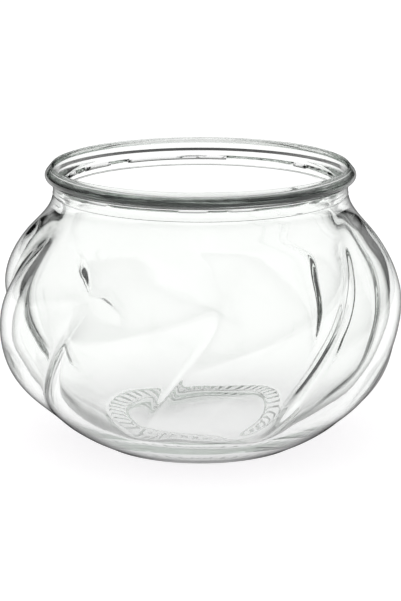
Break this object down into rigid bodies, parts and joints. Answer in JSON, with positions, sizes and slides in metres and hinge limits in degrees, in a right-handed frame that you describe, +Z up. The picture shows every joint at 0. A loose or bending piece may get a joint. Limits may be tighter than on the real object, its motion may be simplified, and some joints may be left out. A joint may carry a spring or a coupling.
{
  "type": "rose bowl vase",
  "caption": "Squat round clear glass rose bowl with slanting convex lobes, a short neck, a rolled rim and a knurled resting ring.",
  "frame": {"origin": "centre of the resting ring's flat underside, on the surface that the vase stands on", "axes": "+Z up along the vase's axis through the mouth; -Y is the side that the picture shows; +X is its right"},
  "size_m": [0.1142, 0.1142, 0.08],
  "materials": {
    "clear_glass": "clear soda-lime glass, fire-polished"
  },
  "bodies": {
    "root": {"rim": "clear_glass", "neck": "clear_glass", "shoulder": "clear_glass", "upper_belly": "clear_glass", "lower_belly": "clear_glass", "heel": "clear_glass", "base": "clear_glass", "resting_ring": "clear_glass"}
  },
  "joints": []
}
